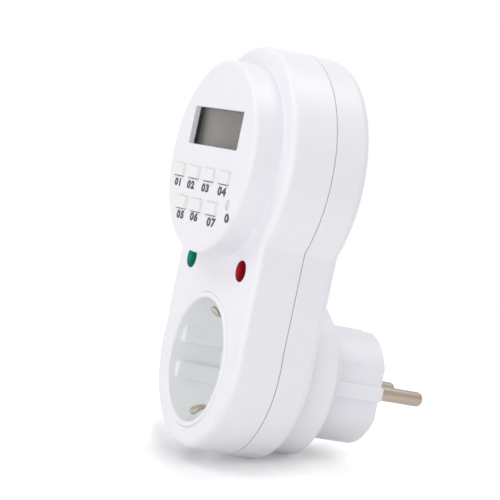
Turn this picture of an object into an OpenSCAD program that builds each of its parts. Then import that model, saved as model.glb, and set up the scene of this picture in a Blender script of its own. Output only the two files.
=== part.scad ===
// Plug-in timer switch: a digital timer between an earthed wall outlet and an earthed plug.
// The origin lies midway between the two plug pins, on the flat face that meets the outlet.
// +Y runs along the pins into the wall, -Y faces the room, +Z is up.

/* [Case] */
// Radius of the round upper end of the case
lobe_r = 37.9; // [36.8:0.1:42]
// Height of the upper end's centre above the plug axis
lobe_z = 62.3; // [61.4:0.1:66]
// Radius of the round lower end of the case
base_r = 30.8; // [30.8:0.1:33]
// Height of the lower end's centre above the plug axis
base_z = 2.8; // [2:0.1:5]
// Width of the straight neck between the two ends
neck_w = 60.8; // [59.6:0.1:61.4]
// Depth of the case from its front face to its back face
case_d = 26.6; // [26:0.1:30]
// Depth of the front shell, from the front face to the seam
front_d = 14.4; // [13:0.1:16]
// Wall of the two shells
wall = 2.2; // [1.8:0.1:2.4]
// How much the front shell tapers in from the seam to its front, on the radius
front_draft = 0.6; // [0:0.1:1]
// Rounding of the front edge
front_round = 2.1; // [1.4:0.1:3]
// Rounding of the rear edge
back_round = 3.4; // [2:0.1:4]
// Width of the tongue that locates the two shells
tongue_t = 1; // [0.8:0.1:1.2]
// Length of the tongue
tongue_l = 2; // [1.5:0.1:3]

/* [Display pod] */
// Radius of the pod at the front end of its side wall
pod_r = 30.3; // [30:0.1:31]
// Height of the pod's front above the case's front face
pod_d = 9.6; // [9.4:0.1:12]
// Height of the pod's centre above the plug axis
pod_z = 63; // [62.2:0.1:64]
// How much wider the pod is at its foot, on the radius
pod_draft = 0.2; // [0:0.1:1]
// Rounding of the pod's front edge
pod_round = 1.8; // [1:0.1:4]
// Rounding where the pod meets the case
pod_fillet = 0.3; // [0.2:0.1:1]
// Front wall of the pod
pod_wall = 1.8; // [1.6:0.1:2]

/* [Display] */
// Width of the window opening
window_w = 37.2; // [33:0.1:38]
// Height of the window opening
window_h = 11.9; // [9:0.1:12.4]
// Height of the window's centre above the pod's centre
window_up = 8.7; // [8.4:0.1:9.4]
// How far the clear pane reaches behind the wall, on each side
pane_lap = 1.3; // [0.8:0.1:1.5]
// Thickness of the clear pane
pane_t = 1.2; // [1:0.1:1.4]
// Thickness of the liquid crystal cell
cell_t = 2.6; // [2:0.1:2.8]
// How far the cell reaches past the window opening, on each side
cell_lap = 1; // [0.6:0.1:1.4]
// Wall of the cell's frame
frame_t = 0.9; // [0.7:0.1:1]
// Width of the rubber contact strips
zebra_w = 1.8; // [1.4:0.1:2]

/* [Keys] */
// Width of a key
key_w = 8.4; // [7.4:0.1:8.8]
// Height of a key
key_h = 3.9; // [3.4:0.1:4.2]
// Distance between keys in a row
key_pitch = 11.6; // [11.2:0.1:11.8]
// How far the keys stand out of the pod
key_out = 1.3; // [0.8:0.1:1.6]
// Chamfer around a key's front
key_chamfer = 0.5; // [0.2:0.1:0.8]
// Gap around a key in its opening
key_gap = 0.25; // [0.2:0.05:0.3]
// Travel of a key
key_travel = 0.5; // [0.3:0.05:0.6]
// Width of the flange that holds a key behind the wall
flange_w = 0.8; // [0.6:0.1:0.9]
// Thickness of a key's flange
flange_t = 1; // [0.8:0.1:1.2]
// Position of the first key in the upper row, to the left of the centre
upper_x = -20.6; // [-21:0.1:-20]
// Position of the first key in the lower row, to the left of the centre
lower_x = -13.9; // [-14.4:0.1:-13.4]
// Height of the upper row, below the pod's centre
upper_drop = 6; // [5.8:0.1:6.4]
// Height of the lower row, below the pod's centre
lower_drop = 16; // [15.4:0.1:16.2]
// Height of the reset button above the lower row
reset_up = 2; // [1:0.1:3]
// Diameter of the reset button
reset_dia = 3.1; // [2.6:0.1:3.4]
// Position of the reset button, to the right of the centre
reset_x = 20.4; // [20:0.1:21]
// How far the reset button lies behind the pod's front
reset_in = 0.3; // [0.1:0.1:0.6]

/* [Indicator lamps] */
// Diameter of a lamp lens
lens_dia = 6.6; // [6.4:0.1:7]
// Distance of a lamp's centre from the side of the neck
lamp_in = 11.4; // [10.8:0.1:12.6]
// Height of the lamps above the plug axis
lamp_z = 30.3; // [29.8:0.1:31]
// How far a lens bulges out of the case
lens_bulge = 0.9; // [0.7:0.1:1.4]
// Diameter of a lamp's light-emitting body
led_dia = 5; // [4.6:0.1:5]
// Length of a lamp's light-emitting body
led_l = 8.6; // [7:0.1:9]

/* [Socket] */
// Diameter of the well that takes a plug
well_dia = 39; // [38.8:0.1:39.5]
// Depth of the well from the front of the ring
well_d = 17.5; // [17:0.1:18]
// Width of the raised ring around the well
ring_w = 1.9; // [1.7:0.1:2.1]
// Height of the ring above the case's front face
ring_out = 0.6; // [0.4:0.1:1.4]
// Thickness of the well's floor
floor_t = 2.5; // [2:0.1:3]
// Thickness of the insert's flange behind the case wall
lip_t = 1.5; // [1.2:0.1:2]
// How far the insert's flange reaches past the ring
lip_w = 2; // [1.5:0.1:3]
// Distance between the inner faces of the left and right pads
pad_gap = 34.6; // [34.4:0.1:35.4]
// Width of the groove between an upper and a lower pad
pad_groove = 6; // [5.4:0.1:6.4]
// Height of the far edge of a pad above the plug axis
pad_z = 9; // [8.6:0.1:9.6]
// Depth at which the pads start behind the front of the ring
pad_in = 2.8; // [2:0.1:4]
// Diameter of the pin holes in the floor
hole_dia = 5.2; // [5.1:0.1:5.6]

/* [Plug] */
// Distance between the two pins
pin_pitch = 19; // [18.8:0.1:19.2]
// Diameter of a pin
pin_dia = 4.8; // [4.7:0.1:4.9]
// Length of a pin outside the plug
pin_l = 19; // [18.5:0.1:19.5]
// Diameter of a pin's shank inside the plug body
shank_dia = 4; // [3.6:0.1:4.2]
// How much wider the riveted head of a pin is, on the radius
rivet_w = 1.2; // [0.8:0.1:1.5]
// Diameter of the plug body
plug_dia = 37; // [36.6:0.1:37.2]
// Length of the plug body behind the boss
plug_l = 20.5; // [20:0.1:22]
// Distance between the two flats on the sides
flat_gap = 32.6; // [32:0.1:33]
// Length of the flats from the plug's face
flat_l = 16; // [14:0.1:17]
// Width of the rib that stands on each flat
rib_w = 4.4; // [4:0.1:5]
// Thickness of the plug's end wall
plug_end = 12; // [10:0.1:13]
// Inner diameter of the plug body's hollow
plug_bore = 28; // [27.6:0.1:29]
// Diameter of the plug body's flange inside the boss
plug_flange = 44; // [42:0.1:44.4]
// Diameter of the boss on the case's back
boss_dia = 50; // [49.6:0.1:52]
// Height of the boss
boss_d = 10.8; // [10:0.1:12]
// Rounding of the boss's edge
boss_round = 1.2; // [0.6:0.1:1.6]
// Rounding around the plug's face
plug_round = 0.8; // [0.4:0.1:1.2]
// Length of the two grooves at the top and bottom of the plug
groove_l = 17; // [15:0.1:18]
// Depth of the two grooves
groove_d = 2.9; // [2.6:0.1:3.2]

/* [Metal strips] */
// Thickness of the bent metal strips
strip_t = 0.8; // [0.6:0.05:0.9]
// Width of the earth strip behind the well
earth_w = 8; // [7:0.1:8.4]
// Width of the two claws that it ends in
claw_w = 4.6; // [4:0.1:5.4]
// Width of the plug's side contacts
side_w = 5; // [4:0.1:5.4]
// Width of the gap that grips a pin in a socket contact
grip_w = 4.9; // [4.85:0.05:5]

/* [Boards and screws] */
// Thickness of the circuit boards
board_t = 1.6; // [1.2:0.1:1.8]
// Radius of the round control board
control_r = 27.6; // [27.2:0.1:27.7]
// Gap between the power board's round edge and the inside of the case
power_gap = 2.6; // [1:0.1:4]
// Width of the power board
power_w = 54; // [52:0.1:56]
// Height of the power board's straight lower edge above the plug axis
power_low = 43.5; // [43:0.1:44.5]
// Height of the stand-offs that carry the power board
standoff_h = 2.8; // [2:0.1:4]
// Diameter of the case screws
screw_dia = 3; // [2.6:0.1:3.2]
// Diameter of the case screw heads
head_dia = 5; // [4.6:0.1:5.2]
// Depth of the counterbore over a case screw head
head_in = 4.5; // [3:0.1:6]
// Thickness of a case screw head
head_h = 2; // [1.4:0.1:2.4]
// Length of a case screw's shank
screw_l = 15; // [13:0.1:16]
// Diameter of the board screws
small_dia = 2; // [1.8:0.1:2.2]
// Diameter of the board screw heads
small_head = 4; // [3.6:0.1:4.2]
// Diameter of the insulated mains wires
wire_dia = 2.2; // [1.8:0.1:2.2]
// Diameter of the lamps' thin wires
thin_dia = 1.2; // [0.8:0.1:1.2]

/* [Hidden] */

round_fn = 96;   // segments of a large circle in the preview
small_fn = 32;   // segments of a small circle in the preview
arc_n = 5;       // straight pieces in a quarter round of an edge
eps = 0.1;       // how far a cut runs past the face that it opens
bite = 0.5;      // how far pieces of one solid run into each other
seat = 0.05;     // gap between two parts that are assembled by hand
slip = 0.2;      // gap around a part that drops into its place
clear = 0.3;     // gap between parts that must not touch

// Places along the depth, counted from the plug's face towards the room
boss_y = -plug_l;
back_y = boss_y - boss_d;
face_y = back_y - case_d;
seam_y = face_y + front_d;
pod_y = face_y - pod_d;
rim_y = face_y - ring_out;
well_y = rim_y + well_d;
front_in_y = face_y + wall;
back_in_y = back_y - wall;
boss_in_y = boss_y - wall;
pod_in_y = pod_y + pod_wall;
pane_y = pod_in_y;
cell_y = pane_y + pane_t + seat;

// The control board carries the switches that the keys press
tact_h = 3.5;            // height of a switch's body
tact_w = 4.5;            // width of a switch's body
plunger_h = 1.5;         // height of a switch's plunger above its body
plunger_dia = 2.4;       // diameter of a switch's plunger
plunger_in = 0.3;        // length of the plunger inside the body, at rest
stem_l = 3;              // length of a key behind the pod's front wall
stem_w = 2.4;            // width of a key's stem
stem_h = 2;              // height of a key's stem
control_y = pod_in_y + stem_l + plunger_h + tact_h;
control_back = control_y + board_t;
tact_y = control_y - tact_h;
plunger_y = tact_y - plunger_h;

// The power board stands on the rear shell
power_back = back_in_y - standoff_h;
power_y = power_back - board_t;
power_r = lobe_r - wall - power_gap;

upper_z = pod_z - upper_drop;
lower_z = pod_z - lower_drop;
reset_z = lower_z + reset_up;
window_z = pod_z + window_up;
key_places = [
    [upper_x, upper_z], [upper_x + key_pitch, upper_z], [upper_x + 2 * key_pitch, upper_z],
    [upper_x + 3 * key_pitch, upper_z],
    [lower_x, lower_z], [lower_x + key_pitch, lower_z], [lower_x + 2 * key_pitch, lower_z]];
reset_place = [reset_x, reset_z];
button_places = concat(key_places, [reset_place]);

lamp_x = neck_w / 2 - lamp_in;
pin_x = pin_pitch / 2;
well_r = well_dia / 2;
ring_r = well_r + ring_w;
plug_r = plug_dia / 2;
boss_r = boss_dia / 2;
pod_in_r = pod_r - wall;
bead_r = ring_w / 2;
lip_r = ring_r + lip_w;

// Screws: two in the upper end and two in the neck of the case, and four under each board
boss_wall = 1.2;         // wall of a screw post around its hole
low_screw = 3.5;         // height of the lower case screws below the power board's edge
front_post_r = screw_dia / 2 + boss_wall;
rear_post_r = head_dia / 2 + slip + boss_wall;
post_in = wall + slip + tongue_t + clear + front_post_r; // post centre, in from the case's outside
post_reach = lobe_r - post_in;
screw_places = [for (s = [-1, 1]) each [
    [s * post_reach * sin(45), lobe_z + post_reach * cos(45)], [s * (neck_w / 2 - post_in), power_low - low_screw]]];
head_y = back_y - head_in;
screw_tip = head_y - screw_l;
small_post_r = 2.4;      // radius of a post for a board screw
small_l = 4;             // depth of the hole in such a post
small_head_h = 1.4;      // thickness of a board screw head
control_reach = pod_in_r - small_head / 2 - slip;
control_screws = [for (x = [-1, 1], z = [-1, 1]) [x * control_reach * cos(60), pod_z + z * control_reach * sin(60)]];
board_in = 3.5;          // distance of a board screw from the power board's lower or round edge
board_side = 6.4;        // distance of the lower board screws from its sides
power_screws = [for (s = [-1, 1]) each [
    [s * (power_w / 2 - board_side), power_low + board_in],
    [s * (power_r - board_in) * sin(30), lobe_z + (power_r - board_in) * cos(30)]]];

// Socket contacts sit in boxes behind the floor of the well
box_w = 9.8;             // width of a box
box_h = 13;              // height of a box
box_t = 1.2;             // wall of a box
contact_top = 2.9;       // height of a contact's inside above the pins
contact_low = -3.3;      // height of its open lower edge
contact_room = 1.5;      // gap between a contact and the plug body behind it
plug_flange_t = 2.5;     // thickness of the plug body's flange
rivet_t = 1.5;           // thickness of a pin's riveted head
floor_back = well_y + floor_t;
flange_y = boss_in_y - plug_flange_t;
head_back = -plug_end - rivet_t;
contact_y = floor_back + seat;
contact_back = flange_y - contact_room;

function arc(cx, cy, r, from, to) =
    [for (i = [0 : arc_n]) let (a = from + (to - from) * i / arc_n) [cx + r * cos(a), cy + r * sin(a)]];

// Points of a path moved sideways by d, for a bent strip
function unit(v) = v / norm(v);
function side(v) = [-v[1], v[0]];
function bend_side(p, i) =
    let (last = len(p) - 1,
        a = side(unit(i == 0 ? p[1] - p[0] : p[i] - p[i - 1])),
        b = side(unit(i == last ? p[last] - p[last - 1] : p[i + 1] - p[i])),
        m = unit(a + b))
    m / (m * a);
function beside(p, d) = [for (i = [0 : len(p) - 1]) p[i] + bend_side(p, i) * d];
function backwards(p) = [for (i = [len(p) - 1 : -1 : 0]) p[i]];

// A flat shape drawn in X and Z, made solid from y0 back to y1
module along_y(y0, y1) {
    translate([0, y1, 0]) rotate([90, 0, 0]) linear_extrude(y1 - y0) children();
}

// A flat shape drawn in Y and Z, made solid over the width w about x
module across(x, w) {
    translate([x - w / 2, 0, 0]) rotate([90, 0, 90]) linear_extrude(w) children();
}

// A round rod along Y at [x, z]
module rod(place, r, y0, y1, fn = small_fn) {
    translate([place[0], y1, place[1]]) rotate([90, 0, 0]) cylinder(r = r, h = y1 - y0, $fn = fn);
}

// A block about [x, z] from y0 back to y1
module block(place, w, h, y0, y1) {
    translate([place[0] - w / 2, y0, place[1] - h / 2]) cube([w, y1 - y0, h]);
}

// A shape turned about the Y axis, drawn as [radius, y]
module turned(place, points) {
    translate([place[0], 0, place[1]]) rotate([-90, 0, 0]) rotate_extrude($fn = round_fn) polygon(points);
}

// A metal strip of thickness t along a path in Y and Z
module bent_strip(path, t, x, w) {
    across(x, w) polygon(concat(beside(path, t / 2), backwards(beside(path, -t / 2))));
}

// A round wire swept along a path of points
wire_sides = 8;          // sides of a wire
aside = [0.3, 0.2, 0.9]; // a direction that no wire runs along
function wire_side(p, i) =
    let (last = len(p) - 1, d = unit(p[min(i + 1, last)] - p[max(i - 1, 0)])) unit(cross(d, aside));
function wire_ring(p, i, r) =
    let (last = len(p) - 1, d = unit(p[min(i + 1, last)] - p[max(i - 1, 0)]), u = wire_side(p, i), v = cross(d, u))
    [for (k = [0 : wire_sides - 1]) p[i] + r * (u * cos(k * 360 / wire_sides) + v * sin(k * 360 / wire_sides))];

module wire(path, r) {
    rings = [for (i = [0 : len(path) - 1]) each wire_ring(path, i, r)];
    last = (len(path) - 1) * wire_sides;
    walls = [for (i = [0 : len(path) - 2], k = [0 : wire_sides - 1])
        let (a = i * wire_sides + k, b = i * wire_sides + (k + 1) % wire_sides)
        each [[a, a + wire_sides, b], [b, a + wire_sides, b + wire_sides]]];
    start = [[for (k = [0 : wire_sides - 1]) k]];
    stop = [[for (k = [wire_sides - 1 : -1 : 0]) last + k]];
    polyhedron(points = rings, faces = concat(walls, start, stop));
}

// The case seen from the front: two round ends and a neck, all taken in by inset
module case_outline(inset = 0) {
    translate([0, lobe_z]) circle(lobe_r - inset, $fn = round_fn);
    translate([0, base_z]) circle(base_r - inset, $fn = round_fn);
    translate([inset - neck_w / 2, base_z]) square([neck_w - 2 * inset, lobe_z - base_z]);
}

// The solid case between y0 and y1, with the edge at y0 tapered by d and rounded by f, and the edge at y1
// rounded by b
function edge_points(r, y0, y1, d, f, b) = concat(
    f > 0 ? arc(r - d - f, y0 + f, f, -90, 0) : [[r, y0]],
    b > 0 ? arc(r - b, y1 - b, b, 0, 90) : [[r, y1]]);
module case_solid(y0, y1, d, f, b) {
    half = edge_points(neck_w / 2, y0, y1, d, f, b);
    other = [for (p = backwards(half)) [-p[0], p[1]]];
    for (end = [[lobe_z, lobe_r], [base_z, base_r]])
        turned([0, end[0]], concat([[0, y0]], edge_points(end[1], y0, y1, d, f, b), [[0, y1]]));
    translate([0, 0, base_z]) linear_extrude(lobe_z - base_z) polygon(concat(half, other));
}

// The ring-shaped tongue between two insets of the outline
module outline_ring(outer, inner, y0, y1) {
    difference() {
        along_y(y0, y1) case_outline(outer);
        along_y(y0 - eps, y1 + eps) case_outline(inner);
    }
}

// The pod: a flat front, a rounded shoulder and a side wall that widens towards the case
module pod_solid() {
    foot = pod_r + pod_draft;
    turned([0, pod_z], concat(
        [[0, pod_y]],
        arc(pod_r - pod_round, pod_y + pod_round, pod_round, -90, 0),
        backwards(arc(foot + pod_fillet, face_y - pod_fillet, pod_fillet, 90, 180)),
        [[foot + pod_fillet, face_y + bite], [0, face_y + bite]]));
}

module front_housing() {
    color("white") difference() {
        union() {
            difference() {
                union() {
                    case_solid(face_y, seam_y, front_draft, front_round, 0);
                    pod_solid();
                }
                along_y(front_in_y, seam_y + eps) case_outline(wall);
                rod([0, pod_z], pod_in_r, pod_in_y, front_in_y + eps, round_fn);
                rod([0, 0], ring_r + seat, face_y - pod_d, front_in_y + eps, round_fn);
            }
            for (p = screw_places) rod(p, front_post_r, front_in_y - bite, seam_y);
            for (p = control_screws) rod(p, small_post_r, pod_in_y - bite, control_y);
        }
        block([0, window_z], window_w, window_h, pod_y - eps, pod_in_y + eps);
        for (p = key_places) block(p, key_w + 2 * key_gap, key_h + 2 * key_gap, pod_y - eps, pod_in_y + eps);
        rod(reset_place, reset_dia / 2 + key_gap, pod_y - eps, pod_in_y + eps);
        for (s = [-1, 1]) rod([s * lamp_x, lamp_z], lens_dia / 2 + seat, face_y - eps, front_in_y + eps);
        for (p = screw_places) rod(p, screw_dia / 2 + seat, screw_tip - bite, seam_y + eps);
        for (p = control_screws) rod(p, small_dia / 2 + seat, control_y - small_l, control_y + eps);
    }
}

module rear_housing() {
    color("white") difference() {
        union() {
            difference() {
                union() {
                    case_solid(seam_y, back_y, 0, 0, back_round);
                    turned([0, 0], concat([[0, back_in_y], [boss_r, back_in_y]],
                        arc(boss_r - boss_round, boss_y - boss_round, boss_round, 0, 90), [[0, boss_y]]));
                }
                along_y(seam_y - eps, back_in_y) case_outline(wall);
                rod([0, 0], boss_r - wall, back_in_y - bite, boss_in_y, round_fn);
                rod([0, 0], plug_r + seat, boss_in_y - bite, boss_y + eps, round_fn);
            }
            outline_ring(wall - bite, wall + slip + tongue_t, seam_y, seam_y + tongue_l);
            outline_ring(wall + slip, wall + slip + tongue_t, seam_y - tongue_l, seam_y + bite);
            for (p = screw_places) rod(p, rear_post_r, seam_y, back_in_y + bite);
            for (p = power_screws) rod(p, small_post_r, power_back, back_in_y + bite);
        }
        for (p = screw_places) {
            rod(p, screw_dia / 2 + slip, seam_y - eps, back_y + eps);
            rod(p, head_dia / 2 + slip, head_y, back_y + eps);
        }
        for (p = power_screws) rod(p, small_dia / 2 + seat, power_back - eps, power_back + small_l);
    }
}

// The four pads at the sides of the well, each with a rounded front edge
pad_round = 1.2;         // rounding of a pad's front edge
module well_pads() {
    for (side_x = [-1, 1], side_z = [-1, 1]) intersection() {
        rod([0, 0], well_r + bite, rim_y + pad_in, well_y, round_fn);
        translate([side_x * pad_gap / 2, 0, side_z * pad_groove / 2])
            mirror([side_x < 0 ? 1 : 0, 0, 0]) mirror([0, 0, side_z < 0 ? 1 : 0])
            linear_extrude(pad_z - pad_groove / 2) polygon(concat(
                backwards(arc(pad_round, rim_y + pad_in + pad_round, pad_round, 180, 270)),
                [[0, well_y], [well_r, well_y], [well_r, rim_y + pad_in]]));
    }
}

// The claws come in through a slot in the top and bottom of the well
slot_w = claw_w + 2 * clear;
slot_h = 2 * (ring_r - well_r);
claw_in = 14;            // depth behind the rim at which a claw turns inwards
slot_fore = 4.5;         // how far the slot reaches in front of that place
slot_aft = 1;            // how far it reaches behind it
claw_y = rim_y + claw_in;
strap_y = floor_back + strip_t / 2 + seat;
strap_z = ring_r + strip_t / 2 + clear;

module socket_insert() {
    lip_y = front_in_y + slip;
    color("gainsboro") difference() {
        union() {
            turned([0, 0], concat(
                [[well_r, well_y]], arc(well_r + bead_r, rim_y + bead_r, bead_r, 180, 360),
                [[ring_r, lip_y], [lip_r, lip_y], [lip_r, lip_y + lip_t], [ring_r, lip_y + lip_t],
                    [ring_r, well_y]]));
            well_pads();
        }
        for (s = [-1, 1])
            block([0, s * (well_r + bead_r)], slot_w, slot_h, claw_y - slot_fore, claw_y + slot_aft);
    }
}

// The carrier closes the well: a floor with the pin holes, and a box behind each for its contact
module contact_carrier() {
    color("gainsboro") difference() {
        union() {
            rod([0, 0], ring_r, well_y, floor_back, round_fn);
            for (s = [-1, 1]) difference() {
                block([s * pin_x, 0], box_w, box_h, floor_back - bite, flange_y);
                block([s * pin_x, 0], box_w - 2 * box_t, box_h - 2 * box_t, floor_back, flange_y + eps);
            }
        }
        for (s = [-1, 1]) rod([s * pin_x, 0], hole_dia / 2, well_y - eps, floor_back + eps);
    }
}

// The plug body: a round body with flats, ribs, side grooves and a hollow for the pin ends
groove_w = side_w + 2 * clear;
groove_z = plug_r - groove_d;
hollow_r = plug_bore / 2;
module plug_body() {
    color("white") difference() {
        union() {
            turned([0, 0], concat([[0, flange_y + bite], [plug_r, flange_y + bite]],
                arc(plug_r - plug_round, -plug_round, plug_round, 0, 90), [[0, 0]]));
            rod([0, 0], plug_flange / 2, flange_y, boss_in_y, round_fn);
        }
        rod([0, 0], hollow_r, flange_y - eps, -plug_end, round_fn);
        for (s = [-1, 1]) {
            rod([s * pin_x, 0], shank_dia / 2 + seat, -plug_end - eps, eps);
            for (t = [-1, 1])
                block([s * (flat_gap / 2 + plug_r), t * (rib_w / 2 + plug_r / 2)], 2 * plug_r, plug_r, -flat_l, eps);
            block([0, s * (groove_z + plug_r / 2)], groove_w, plug_r, -groove_l, eps);
            block([0, s * (hollow_r + groove_z) / 2], groove_w, groove_d, -groove_l, -groove_l + 2 * strip_t);
        }
    }
}

// A pin: a round-ended rod on a thinner shank, riveted behind the end wall
module plug_pin(s) {
    pin_r = pin_dia / 2;
    shank_r = shank_dia / 2;
    color("silver") turned([s * pin_x, 0], concat(
        [[0, head_back], [shank_r + rivet_w, head_back], [shank_r + rivet_w, -plug_end],
            [shank_r, -plug_end], [shank_r, 0], [pin_r, 0]],
        arc(0, pin_l - pin_r, pin_r, 0, 90)));
}
module plug_pin_line() { plug_pin(-1); }
module plug_pin_neutral() { plug_pin(1); }

// Side contacts of the plug: a strip lies in each groove and runs in to the earth strip
tail_z = 12.4;           // height at which the strip runs through the plug's hollow
bow_in = 0.9;            // how far the bowed part lies inside the plug's outline
bow_from = -10.5;        // station at which the bowed part begins
bow_to = -4.5;           // station at which it ends
side_tip = -1.2;         // station of the strip's tip
module plug_earth_contacts() {
    turn_y = -groove_l + strip_t;
    bow_z = plug_r - bow_in;
    color("goldenrod") for (s = [0, 1]) mirror([0, 0, s])
        bent_strip([[strap_y + strip_t / 2, tail_z], [turn_y, tail_z], [turn_y, groove_z + strip_t],
            [bow_from, bow_z], [bow_to, bow_z], [side_tip, groove_z + strip_t]], strip_t, 0, side_w);
}

// The earth strip: a strap behind the well whose two ends reach in as spring claws.
// A claw's points are its depth behind the rim and its height, from the bend to the tip.
claw_points = [[8.6, 14.9], [7, 14.3], [5.4, 14.7], [4, 15.5], [2.8, 17]];
module earth_strip() {
    claw = concat([[strap_y, 0], [strap_y, strap_z], [claw_y, strap_z]],
        [for (p = claw_points) [rim_y + p[0], p[1]]]);
    color("goldenrod") {
        block([0, 0], earth_w, 2 * strap_z + strip_t, strap_y - strip_t / 2, strap_y + strip_t / 2);
        for (s = [0, 1]) mirror([0, 0, s]) bent_strip(claw, strip_t, 0, claw_w);
    }
}

// A socket contact: an open clip that grips a pin from both sides
module socket_contact(s) {
    out_w = grip_w + 2 * strip_t;
    color("goldenrod") difference() {
        block([s * pin_x, (contact_top + contact_low + strip_t) / 2], out_w, contact_top + strip_t - contact_low,
            contact_y, contact_back);
        block([s * pin_x, (contact_top + contact_low) / 2 - bite], grip_w, contact_top - contact_low + 2 * bite,
            contact_y - eps, contact_back + eps);
    }
}
module socket_contact_line() { socket_contact(-1); }
module socket_contact_neutral() { socket_contact(1); }

// A strip from the neutral pin's rivet to the neutral contact
link_low = -2.5;         // height of its lower end behind the pin
link_lap = 5;            // length that lies on the contact
link_w = 4;              // width of the strip
link_z = contact_top + 1.5 * strip_t;
module neutral_link() {
    link_y = head_back - strip_t / 2;
    color("goldenrod")
        bent_strip([[link_y, link_low], [link_y, link_z], [contact_back - link_lap, link_z]], strip_t, pin_x, link_w);
}

module display_window() {
    color("lightgray", 0.4)
        block([0, window_z], window_w + 2 * pane_lap, window_h + 2 * pane_lap, pane_y, pane_y + pane_t);
}

cell_w = window_w + 2 * cell_lap;
cell_h = window_h + 2 * cell_lap;
module lcd_panel() {
    color("darkkhaki") block([0, window_z], cell_w, cell_h, cell_y, cell_y + cell_t);
}

module lcd_frame() {
    frame_y = pane_y + pane_t;
    color("dimgray") difference() {
        intersection() {
            block([0, window_z], cell_w + 2 * (frame_t + seat), cell_h + 2 * (frame_t + seat), frame_y, control_y);
            rod([0, pod_z], pod_in_r - slip, frame_y - eps, control_y + eps, round_fn);
        }
        block([0, window_z], cell_w + 2 * seat, cell_h + 2 * seat, frame_y - eps, control_y + eps);
    }
}

module zebra_strips() {
    color("darkslategray") for (s = [-1, 1])
        block([0, window_z + s * (cell_h - zebra_w) / 2], cell_w, zebra_w, cell_y + cell_t, control_y);
}

module control_board() {
    color("seagreen") difference() {
        rod([0, pod_z], control_r, control_y, control_back, round_fn);
        for (p = control_screws) rod(p, small_dia / 2 + slip, control_y - eps, control_back + eps);
    }
}

module tact_switches() {
    color("black") for (p = button_places) difference() {
        block(p, tact_w, tact_w, tact_y, control_y);
        rod(p, plunger_dia / 2 + slip, tact_y - eps, tact_y + plunger_in + key_travel + slip);
    }
}

// Parts on the back of the control board: a place beside the pod's centre, then sizes
chip_at = [2, -4];
chip_w = 10;
chip_t = 1.4;
module microcontroller() {
    color("black") block([chip_at[0], pod_z + chip_at[1]], chip_w, chip_w, control_back, control_back + chip_t);
}

crystal_at = [12, 2];
crystal_r = 1;
crystal_l = 6;
module quartz_crystal() {
    color("silver") translate([crystal_at[0], control_back + crystal_r, pod_z + crystal_at[1]])
        cylinder(r = crystal_r, h = crystal_l, $fn = small_fn);
}

battery_at = [-12, 12.6];
battery_r = 5.8;
battery_t = 5.4;
tab_w = 3;
tab_t = 1;
module backup_battery() {
    place = [battery_at[0], pod_z + battery_at[1]];
    color("silver") union() {
        rod(place, battery_r, control_back + tab_t / 2, control_back + battery_t);
        block(place, tab_w, 2 * (battery_r + tab_t), control_back, control_back + tab_t);
    }
}

// Lamps: a coloured lens in the case wall and a lit body behind it
lens_wall = 0.8;         // thickness of a lens over the lit body
lens_rim = 1;            // width and thickness of a lens's rim behind the wall
lens_side = 0.5;         // height of a lens's straight side outside the case
module lamp_lens(s) {
    r = lens_dia / 2;
    rim_y0 = front_in_y + seat;
    hollow = led_dia / 2 + seat;
    turned([s * lamp_x, lamp_z], [[0, face_y - lens_bulge], [r / 2, face_y - lens_bulge * 0.95],
        [r - 0.4, face_y - (lens_bulge + lens_side) / 2], [r, face_y - lens_side], [r, rim_y0],
        [r + lens_rim, rim_y0], [r + lens_rim, rim_y0 + lens_rim], [hollow, rim_y0 + lens_rim],
        [hollow, face_y + lens_wall], [0, face_y + lens_wall]]);
}
module lens_green() { color("teal", 0.8) lamp_lens(-1); }
module lens_red() { color("firebrick", 0.8) lamp_lens(1); }

lead_pitch = 2.54;       // distance between a lamp's two leads
lead_w = 0.5;            // width of a lead
lead_l = 3;              // length of a lead
led_y = face_y + lens_wall + slip;
led_back = led_y + led_l;
lead_back = led_back + lead_l;
module lamp_led(s) {
    rod([s * lamp_x, lamp_z], led_dia / 2, led_y, led_back);
    for (t = [-1, 1])
        block([s * lamp_x + t * lead_pitch / 2, lamp_z], lead_w, lead_w, led_back - bite, lead_back);
}
module led_green() { color("palegreen") lamp_led(-1); }
module led_red() { color("lightpink") lamp_led(1); }

module power_board() {
    color("seagreen") difference() {
        intersection() {
            rod([0, lobe_z], power_r, power_y, power_back, round_fn);
            translate([-power_w / 2, power_y - eps, power_low])
                cube([power_w, board_t + 2 * eps, 2 * power_r]);
        }
        for (p = screw_places) rod(p, rear_post_r + clear, power_y - eps, power_back + eps);
        for (p = power_screws) rod(p, small_dia / 2 + slip, power_y - eps, power_back + eps);
    }
}

// Parts on the power board: a place beside the centre of its round edge, then sizes
relay_at = [-11, -1];
relay_w = 19;
relay_h = 15.5;
relay_d = 14.6;
module relay() {
    color("royalblue") block([relay_at[0], lobe_z + relay_at[1]], relay_w, relay_h, power_y - relay_d, power_y);
}

film_at = [9, 14.2];
film_w = 18;
film_h = 8.5;
film_d = 13;
module film_capacitor() {
    color("gold") block([film_at[0], lobe_z + film_at[1]], film_w, film_h, power_y - film_d, power_y);
}

can_at = [14, -1.8];
can_r = 5;
can_d = 12;
module electrolytic_capacitor() {
    color("darkslateblue") rod([can_at[0], lobe_z + can_at[1]], can_r, power_y - can_d, power_y);
}

disc_r = 5;
disc_t = 4;
disc_x = rear_post_r + clear + disc_r - post_reach * sin(45);
disc_up = 17;
module varistor() {
    color("steelblue") translate([disc_x, power_y - disc_r, lobe_z + disc_up])
        cylinder(r = disc_r, h = disc_t, center = true, $fn = small_fn);
}

fuse_at = [4, -11];
fuse_r = 1.8;
fuse_l = 10;
module fuse_resistor() {
    color("tan") translate([fuse_at[0], power_y - fuse_r, lobe_z + fuse_at[1]]) rotate([0, 90, 0])
        cylinder(r = fuse_r, h = fuse_l, $fn = small_fn);
}

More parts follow.
